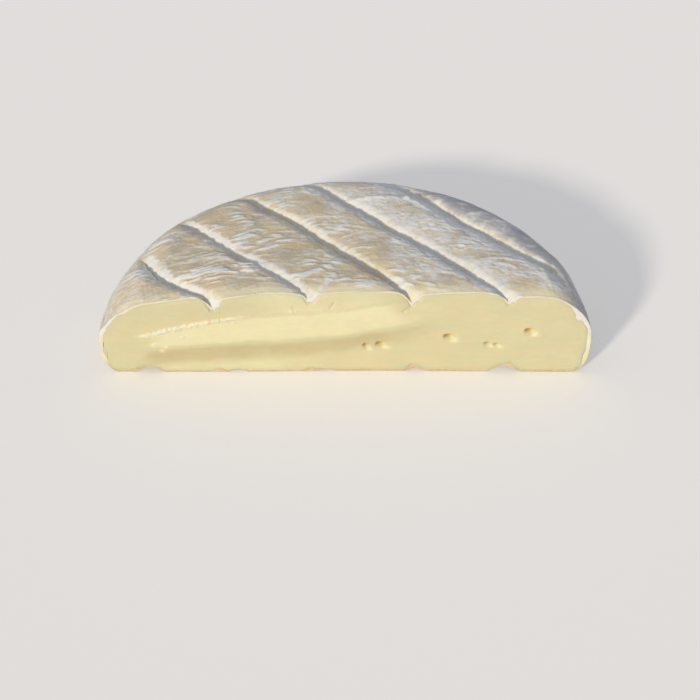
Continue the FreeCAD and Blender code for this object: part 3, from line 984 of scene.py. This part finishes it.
def rindMaterial():
    # tan skin with patches of other tones under white mould, thickest on the wrinkles and flecks, and
    # painted shade in slate grey where the skin faces away from the light
    look = rindLook
    material, tree, shader = newMaterial("mouldyRind")
    streak, fine, fleck = readParts(tree, "waves")
    streakShare, fleckShare, white = readParts(tree, "shares")
    ochre, cream, slateShade = readParts(tree, "tones")
    crest = spread(tree, streak, -0.06, 0.36, 0.1, 0.85)
    hair = spread(tree, fine, 0.05, 0.5, 0.0, 0.3)
    lines = calculate(tree, "MULTIPLY", calculate(tree, "ADD", crest, hair), streakShare)
    flecks = calculate(tree, "MULTIPLY", spread(tree, fleck, -0.4, 0.3, 0.35, 0.95), fleckShare)
    fuzz = speckle(tree, look["fuzzSize"], 3.0)
    down = speckle(tree, look["downSize"])
    haze = spread(tree, speckle(tree, look["hazeSize"]), 0.4, 0.7, 0.0, 0.2)
    ragged = calculate(tree, "SUBTRACT", fuzz, 0.5)
    mould = weightedSum(tree, (lines, 1), (flecks, 1), (white, 1), (haze, 1), (ragged, 0.8))
    mould = spread(tree, mould, 0.0, 1.0, 0.0, 1.0)
    cloud = spread(tree, speckle(tree, look["cloudSize"]), 0.35, 0.65, 0.0, 1.0)
    skin = mixColour(tree, cloud, look["tan"], look["dusk"])
    skin = mixColour(tree, ochre, skin, look["ochre"])
    skin = mixColour(tree, cream, skin, look["cream"])
    # painted shade in slate grey on the far strip, the right end and the right furrows' rounded flanks
    skin = mixColour(tree, slateShade, skin, look["slateShade"])
    colour = mixColour(tree, mould, skin, look["mould"])
    height = weightedSum(tree, (lines, 1), (flecks, 0.6), (fuzz, 1.2), (down, 0.6))
    setSurface(tree, shader, look, colour, height)
    return material


pasteLook = {
    "pale": (0.90, 0.83, 0.51),
    "crumb": (0.83, 0.79, 0.585),  # the dragged ridge
    "plain": (0.745, 0.69, 0.408),
    "warm": (0.785, 0.69, 0.408),
    "deep": (0.65, 0.55, 0.30),
    # the hole colour is painted shade inside the gas holes
    "hole": (0.66, 0.46, 0.16),
    "cloudSize": 9.0,  # sizes in mm and stretch of the spots
    "cloudStretch": (0.6, 1, 1.4),
    "dragSize": 1.2,
    "dragStretch": (0.3, 1, 1.2),
    "grainSize": 0.35,
    "surface": {"Roughness": 0.5, "Specular IOR Level": 0.35, "Subsurface Weight": 0.4,
                "Subsurface Radius": (1.0, 0.6, 0.25), "Subsurface Scale": 0.003},
    "bump": 0.00006,
}


def pasteMaterial():
    # soft yellow paste, paler where the knife dragged it and as a painted highlight on the gas holes'
    # lips, and deeper with painted shade in the band's hollow, below a notch, in the cracks and in the gas
    # holes
    look = pasteLook
    material, tree, shader = newMaterial("softPaste")
    tone = readAttribute(tree, "tone").outputs["Fac"]
    holeShade = readAttribute(tree, "holeShade").outputs["Fac"]
    cloud = speckle(tree, look["cloudSize"], 2.0, look["cloudStretch"])
    cloud = spread(tree, cloud, 0.35, 0.65, 0.0, 1.0)
    colour = mixColour(tree, cloud, look["plain"], look["warm"])
    # paler where the knife dragged the paste and, as a painted highlight, on the gas holes' lit lips
    colour = mixColour(tree, spread(tree, tone, -1.1, 0.1, 1.0, 0.0), colour, look["pale"])
    colour = mixColour(tree, spread(tree, tone, -1.5, -1.1, 1.0, 0.0), colour, look["crumb"])
    # deeper in random spots and at the upper left, and as painted shade in the band's hollow, below a
    # notch and in the cracks
    colour = mixColour(tree, spread(tree, tone, 0.0, 1.2, 0.0, 1.0), colour, look["deep"])
    # painted shade inside the gas holes, strongest towards their upper left
    colour = mixColour(tree, spread(tree, holeShade, 0.05, 0.6, 0.0, 1.0), colour, look["hole"])
    drag = speckle(tree, look["dragSize"], 3.0, look["dragStretch"])
    grain = speckle(tree, look["grainSize"])
    height = weightedSum(tree, (drag, 1), (grain, 0.4))
    setSurface(tree, shader, look, colour, height)
    return material


rindPiece = makeRind()
rindPiece.data.materials.append(rindMaterial())
pastePiece = makePaste()
pastePiece.data.materials.append(pasteMaterial())
for piece, slotName in ((rindPiece, "rind"), (pastePiece, "paste")):
    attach(piece, "root")
    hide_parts("cheese_half")
print("rind and paste replace the CAD half")

stage = {
    "floorSize": 6.0,
    "floor": (0.80, 0.77, 0.72),
    "floorLift": (0.26, 0.245, 0.22),  # only the camera sees this light
    "floorRoughness": 0.9,
    "aim": (1.4, 0.0, 8.1),  # point that the camera looks at, in wheel mm
    "distance": 0.448,
    "elevation": math.radians(37.4),
    "lens": 1585 * 36 / 700,  # focal length and sensor width in mm
    "sensor": 36,
    "clip": (0.01, 20),
    "keyElevation": math.radians(21),
    "keyAzimuth": math.radians(32),  # to the left of the camera
    "keyAngle": math.radians(6),
    "keyEnergy": 2.19,
    "keyColour": (1.0, 0.92, 0.81),
    "room": (0.358, 0.392, 0.475),
    "backdrop": (0.74, 0.74, 0.74),  # what the camera sees past the floor
}


def seenAs(tree, plain, seen):
    # one colour for things to be lit by, another for the camera
    rays = tree.nodes.new("ShaderNodeLightPath")
    return mixColour(tree, rays.outputs["Is Camera Ray"], plain, seen)


def makeFloor():
    # a plain pale floor, a little brighter for the camera alone
    size = stage["floorSize"]
    corners = [(-size, -size, 0), (size, -size, 0), (size, size, 0), (-size, size, 0)]
    mesh = bpy.data.meshes.new("floor")
    mesh.from_pydata(corners, [], [(0, 1, 2, 3)])
    floor = addObject("floor", mesh)
    floor.location.z = cadLow.z
    material, tree, shader = newMaterial("floorPaint")
    shader.inputs["Base Color"].default_value = (*stage["floor"], 1)
    shader.inputs["Roughness"].default_value = stage["floorRoughness"]
    shader.inputs["Emission Strength"].default_value = 1.0
    lift = seenAs(tree, (0.0, 0.0, 0.0), stage["floorLift"])
    tree.links.new(lift, shader.inputs["Emission Color"])
    mesh.materials.append(material)


def makeCamera():
    # looks at the cut face from in front and above
    data = bpy.data.cameras.new("camera")
    data.lens = stage["lens"]
    data.sensor_width = stage["sensor"]
    data.clip_start, data.clip_end = stage["clip"]
    camera = addObject("camera", data)
    back = Vector((0, -math.cos(stage["elevation"]), math.sin(stage["elevation"])))
    camera.location = Vector(toFrame(np.array(stage["aim"]))) + back * stage["distance"]
    camera.rotation_euler = (-back).to_track_quat("-Z", "Y").to_euler()
    bpy.context.scene.camera = camera


def makeKey():
    # a low soft key from the left of the camera
    elevation, azimuth = stage["keyElevation"], stage["keyAzimuth"]
    data = bpy.data.lights.new("key", "SUN")
    data.energy = stage["keyEnergy"]
    data.angle = stage["keyAngle"]
    data.color = stage["keyColour"]
    key = addObject("key", data)
    level = math.cos(elevation)
    source = Vector((-math.sin(azimuth) * level, -math.cos(azimuth) * level, math.sin(elevation)))
    key.rotation_euler = source.to_track_quat("Z", "Y").to_euler()


def makeRoom():
    # even cool light all round; the camera sees a plain pale backdrop
    world = bpy.data.worlds.new("room")
    world.use_nodes = True
    tree = world.node_tree
    colour = seenAs(tree, stage["room"], stage["backdrop"])
    tree.links.new(colour, tree.nodes["Background"].inputs["Color"])
    bpy.context.scene.world = world


makeFloor()
makeCamera()
makeKey()
makeRoom()
bpy.context.scene.view_settings.view_transform = "Standard"
print("stage, camera and light are set")
